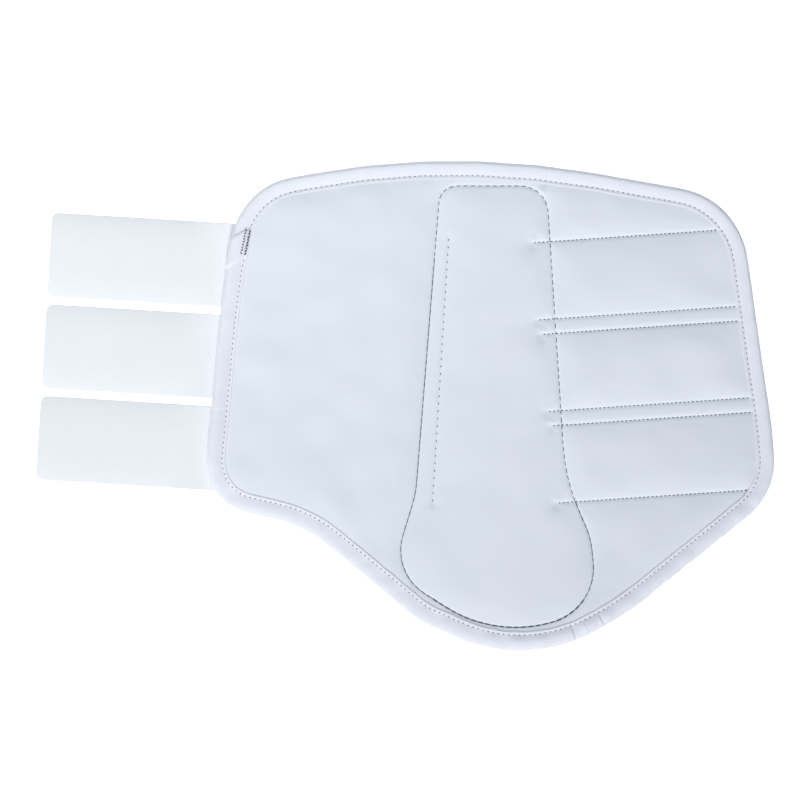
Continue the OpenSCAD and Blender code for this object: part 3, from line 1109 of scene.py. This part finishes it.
def build_strap(level):
    """A tape from the anchor seam, out under the left wing to its free tip."""
    name = f"strap_{level}"
    tip, root, low, high = STRAPS[level]
    zones = [
        Zone(f"{name}_curl", f"{name}_tip", name, BEND_STRAP, BEND_STRAP),
        Zone(f"{name}_fold", name, "left_edge", BEND_STRAP, BEND_STRAP),
    ] + PAD_ZONES[:2]
    stations = np.concatenate([
        tip + np.array(TIP_STATIONS), np.arange(tip + TIP_LENGTH, root - 1, TAPE_STEP), [root],
    ])
    from_tip = stations - tip
    reach = np.clip(STRAP_CORNER - from_tip, 0, STRAP_CORNER)
    corner = STRAP_CORNER - np.sqrt(STRAP_CORNER ** 2 - reach ** 2)
    fold_at = float(zones[1].point @ strap_lane.u)
    free = np.clip((fold_at + STRAP_FREE[0] - stations) / STRAP_FREE[1], 0, 1)
    sag = free * STRAP_SAG[0] * (1 + np.sin(stations / STRAP_SAG[1] + low))
    sag += STRAP_DROOP[0] * np.exp(-from_tip / STRAP_DROOP[1])
    rings = tape_rings(strap_lane, stations, low, high, "strap_roots", corner, sag, free)
    stands = {0: [f"{name}_tip"], 1: [f"{name}_reach"], 2: ["straps_over_left_edge"],
              3: ["straps_over_left_side", "strap_roots"]}
    build_tape(name, strap_lane, (low + high) / 2, stations, rings, zones, HOOK, stands)


def build_patch(level):
    """A loop tape sewn to the outer side of the right wing."""
    start, end, low, high = PATCHES[level]
    stations = np.concatenate([np.arange(start, end - 1, TAPE_STEP), [end]])
    rings = tape_rings(patch_lane, stations, low, high, "patch_roots")
    keep_in_binding(rings[0])
    stands = {2: ["patch_roots", f"patch_{level}_side"], 3: [f"patch_{level}_edge"]}
    middle = (low + high) / 2
    build_tape(f"patch_{level}", patch_lane, middle, stations, rings, PAD_ZONES, LOOP, stands)


def keep_in_binding(rings):
    """Pulls points that would run past the binding's inner edge back onto it."""
    limit = inset(pad, LEAF_WIDTH + PATCH_ROOM)
    flat = rings[..., :2].reshape(-1, 2)
    outside = np.where(~inside(limit, flat))[0]
    if len(outside):
        flat[outside] = limit[nearest(tree_of(limit), flat[outside])[1]]
        rings[..., :2] = flat.reshape(*rings.shape[:2], 2)


# ---- strike pad


def build_strike_pad():
    """The raised pad on the outer side: a domed leather cover over foam and a hard plate."""
    lines = parallels(resample(key, COVER_STEP), COVER_ROWS, True)
    flat, triangles = sheet_mesh(inset(key, -FLANGE), lines, COVER_SPACING)
    distance, _ = nearest(key_tree, flat)
    depth = np.where(inside(key, flat), distance, -distance)
    near, far = COVER_SHOULDER
    shoulder = smoothstep(np.clip((depth - near) / (far - near), 0, 1))
    groove = COVER_SEAM[0] * np.exp(-(depth / COVER_SEAM[1]) ** 2)
    low = np.maximum((COVER_TOP - COVER_FLANGE_THICK) * (1 - shoulder) + groove, 0)
    level = np.where(shoulder > 0.5, 0, COVER_TOP - shoulder * (COVER_TOP - COVER_THICK))
    high = np.maximum(level, low + COVER_THICK)
    cover = solid_sheets("strike_pad_cover", flat, triangles, high, low, None)[0]
    dress(cover, COVER, ["strike_pad_cover"], body="centre_panel")

    foam_low, foam_high = heights_of("strike_pad_foam")
    room = inset(key, float(key[:, 1].max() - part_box("strike_pad_foam")[1].y / MM))
    flat, triangles = sheet_mesh(room, [], COVER_FOAM_SPACING)
    distance, _ = nearest(tree_of(resample(room, LINE_STEP)), flat)
    top = foam_high - FOAM_CROWN[0] + FOAM_CROWN[0] * (1 - np.exp(-distance / FOAM_CROWN[1]))
    low = np.full(len(flat), foam_low)
    foam = solid_sheets("strike_pad_foam_core", flat, triangles, top, low, None)[0]
    dress(foam, FOAM, ["strike_pad_foam"], body="centre_panel")

    plate = frame["nodes"]["strike_plate"]
    plate.data.materials.clear()
    plate.data.materials.append(PLATE)


# ---- stitches


def capsule(length, radius, around=7, rings=6):
    """A stitch: a short thread along x, bowed so that both ends sink into the cloth."""
    points, faces = [], []
    for t in np.linspace(-1, 1, rings):
        r = radius * math.sqrt(max(0.0, 1 - abs(t) ** 3 * STITCH_TAPER))
        for k in range(around):
            a = 2 * math.pi * k / around
            points.append((t * length / 2, r * math.cos(a), r * math.sin(a) - STITCH_BOW * t * t))
    for j in range(0, (rings - 1) * around, around):
        for k in range(around):
            n = (k + 1) % around
            faces.append((j + around + k, j + around + n, j + n, j + k))
    last = (rings - 1) * around
    return np.array(points), [*faces, tuple(range(around)), tuple(range(last, last + around))[::-1]]


def stitches(name, spots, ways, heights, kind, stands, up=1, body=None):
    """Stitches at flat spots, each lying along its way, joined into one piece for each zone."""
    shape, shape_faces = capsule(*kind[1:])
    x, y, z = shape.T
    number = zone_of(spots) if body is None else np.zeros(len(spots), int)
    for k in np.unique(number):
        points, faces = [], []
        for i in np.where(number == k)[0]:
            c, s = ways[i]
            base = len(points) * len(shape)
            points.append(np.column_stack([
                spots[i][0] + x * c - y * s, spots[i][1] + x * s + y * c, heights[i] + z * up,
            ]))
            faces += [[base + v for v in f[::up]] for f in shape_faces]
        piece = make_mesh(f"{name}_{k + 1}" if body is None else name, np.vstack(points), faces)
        dress(piece, THREAD_AND_HOLE_SHADE, stands.get(k, ()), None if body else PAD_ZONES[k], body)


def stitch_places(line, pitch, around_stitch=0.6):
    """Middle and direction of every stitch along a line."""
    run = run_of(line)
    count = max(2, round(run[-1] / pitch))
    at = (np.arange(count) + 0.5) * run[-1] / count
    ahead = along_line(line, run, np.minimum(at + around_stitch, run[-1]))
    behind = along_line(line, run, np.maximum(at - around_stitch, 0))
    return along_line(line, run, at), unit(ahead - behind)


def straight_places(lines, pitch):
    """Middle and direction of every stitch along straight lines."""
    placed = [stitch_places(line_points(a, b, LINE_STEP), pitch) for a, b in lines]
    return (np.vstack(part) for part in zip(*placed))


def build_binding_stitches(path, normal, skin):
    """The seam that holds both leaves of the tape, seen on both sides of the boot."""
    spots, ways = stitch_places(closed(resample(pad_seam, LINE_STEP)), BINDING_STITCH[0])
    _, number = nearest(tree_of(path - normal * SEAM_INSET), spots)
    for name, column, up, stands in (("binding_stitches", 3, 1, layer_nodes("binding_seam")),
                                     ("binding_stitches_outer", -4, -1, {})):
        heights = skin[number, column, 1] + up * BINDING_THREAD_RISE
        stitches(name, spots, ways, heights, BINDING_STITCH, stands, up)
    build_tacks(path, normal, skin, spots)


def build_tacks(path, normal, skin, spots):
    """Two dense rows of uneven stitches on the lap, beside the binding's seam."""
    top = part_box("binding_join")[1].y / MM
    beside = (spots[:, 1] > top - JOIN_LENGTH - TACK_MARGIN[0]) & (spots[:, 1] < top - TACK_MARGIN[1])
    start, end = spots[beside & (spots[:, 0] < 0)][[0, -1]]
    side = np.array([end[1] - start[1], start[0] - end[0]]) / np.linalg.norm(end - start)
    tacks, ways = straight_places([(start + side * o, end + side * o) for o in TACK_ROWS],
                                  TACK_STITCH[0])
    turn = TACK_TURN[0] * np.sin(np.arange(len(tacks)) * TACK_TURN[1])
    c, s = np.cos(turn), np.sin(turn)
    ways = np.stack([ways[:, 0] * c - ways[:, 1] * s, ways[:, 0] * s + ways[:, 1] * c], 1)
    rings = to_space(path, normal, skin)[:, 1:8].reshape(-1, 3)
    heights = surface(rings[:, :2], rings[:, 2])(tacks) + JOIN_LIFT + TACK_RISE
    stitches("binding_join_stitches", tacks, ways, heights, TACK_STITCH, {}, body="left_edge")


def build_stitches(inner):
    """The seams on the lining: strike pad, strap anchor and loop patch rows."""
    spots, ways = stitch_places(closed(resample(key, LINE_STEP)), STRIKE_STITCH[0])
    fine = (spots[:, 1] > KEY_CENTRE[1]) & (spots[:, 0] > key[:, 0].min() + FINE_START)
    # Thick stitches near the lowest point and a near-solid line elsewhere paint the seam groove's shade;
    # thin stitches at the top paint less of it
    heavy = spots[:, 1] < key[:, 1].min() + GROOVE_SHADE_REACH
    for name, kind, chosen in (("strike_pad_stitches", STRIKE_STITCH, ~fine & ~heavy),
                               ("strike_pad_stitches_groove_shade", STRIKE_STITCH_GROOVE_SHADE, heavy),
                               ("strike_pad_stitches_fine", STRIKE_STITCH_FINE, fine)):
        stitches(name, spots[chosen], ways[chosen], inner(spots[chosen]) + THREAD_RISE, kind,
                 {0: ["strike_pad_seam"]}, body="centre_panel")
    spots, ways = straight_places([(anchor_bottom, anchor_top)], ANCHOR_STITCH[0])
    stitches("strap_anchor_stitches", spots, ways, inner(spots) + THREAD_RISE, ANCHOR_STITCH,
             {0: ["strap_anchor_seam"]}, body="centre_panel")
    spots, ways = straight_places(ROWS, ROW_STITCH[0])
    stitches("patch_stitches", spots, ways, inner(spots) + THREAD_RISE, ROW_STITCH,
             {2: ["patch_seams_side", "patch_seams_centre"], 3: ["patch_seams_edge"]})


# ---- stage, light and camera


def build_stage():
    """A pale floor that glows evenly for the camera and less for the boot."""
    bpy.ops.mesh.primitive_plane_add(size=FLOOR_SIZE, location=(0, 0, cad_low.z - FLOOR_GAP))
    floor = bpy.context.object
    floor.name = "floor"
    material, tree, shader = new_material(
        "floor", (0.55, 0.56, 0.57), (0.57, 0.58, 0.59), (speckle, 2, 2), 0.9, 0.0, 0.1)
    seen = add(tree, "ShaderNodeLightPath", {}, "Is Camera Ray")
    glow = {"Value": seen, "To Min": FLOOR_GLOW[0], "To Max": FLOOR_GLOW[1]}
    put(tree, shader.inputs["Emission Color"], WHITE)
    put(tree, shader.inputs["Emission Strength"], add(tree, "ShaderNodeMapRange", glow))
    floor.data.materials.append(material)


def add_lamp(name, kind, way, place=(0, 0, 0), **values):
    data = bpy.data.lights.new(name, kind)
    for key, value in values.items():
        setattr(data, key, value)
    lamp = new_object(name, data)
    lamp.location = place
    lamp.rotation_euler = Vector(way).to_track_quat("-Z", "Y").to_euler()
    return lamp


def build_light():
    """A high-key studio: soft light all round, a key from the boot's foot end, a fill over its left."""
    world = bpy.data.worlds.new("studio")
    bpy.context.scene.world = world
    world.use_nodes = True
    tree = world.node_tree
    seen = add(tree, "ShaderNodeLightPath", {}, "Is Camera Ray")
    sky = add(tree, "ShaderNodeBackground", {"Color": SKY, "Strength": SKY_STRENGTH})
    white = add(tree, "ShaderNodeBackground", {"Color": WHITE, "Strength": 1.0})
    mixed = add(tree, "ShaderNodeMixShader", {0: seen, 1: sky, 2: white})
    put(tree, tree.nodes["World Output"].inputs["Surface"], mixed)
    add_lamp("key", "SUN", SUN_WAY, **SUN)
    fill = add_lamp("fill", "AREA", Vector(FILL_TARGET) - Vector(FILL_PLACE), FILL_PLACE, **FILL)
    fill.visible_camera = False


def build_camera():
    """Straight down, like the product photograph."""
    data = bpy.data.cameras.new("camera")
    camera = new_object("camera", data)
    size = cad_high - cad_low
    data.sensor_width = SENSOR
    data.lens = SENSOR * CAMERA_HEIGHT / (size.x * FIELD)
    data.clip_end = 50
    camera.location = (cad_low.x + size.x * AIM[0], cad_low.y + size.y * AIM[1], CAMERA_HEIGHT)
    bpy.context.scene.camera = camera


inner, outer = build_sheets()
tape = build_binding(inner, outer)
for level in LEVELS:
    build_strap(level)
for level in LEVELS:
    build_patch(level)
build_strike_pad()
build_binding_stitches(*tape)
build_stitches(inner)
build_stage()
build_light()
build_camera()
bpy.context.scene.view_settings.view_transform = "Standard"
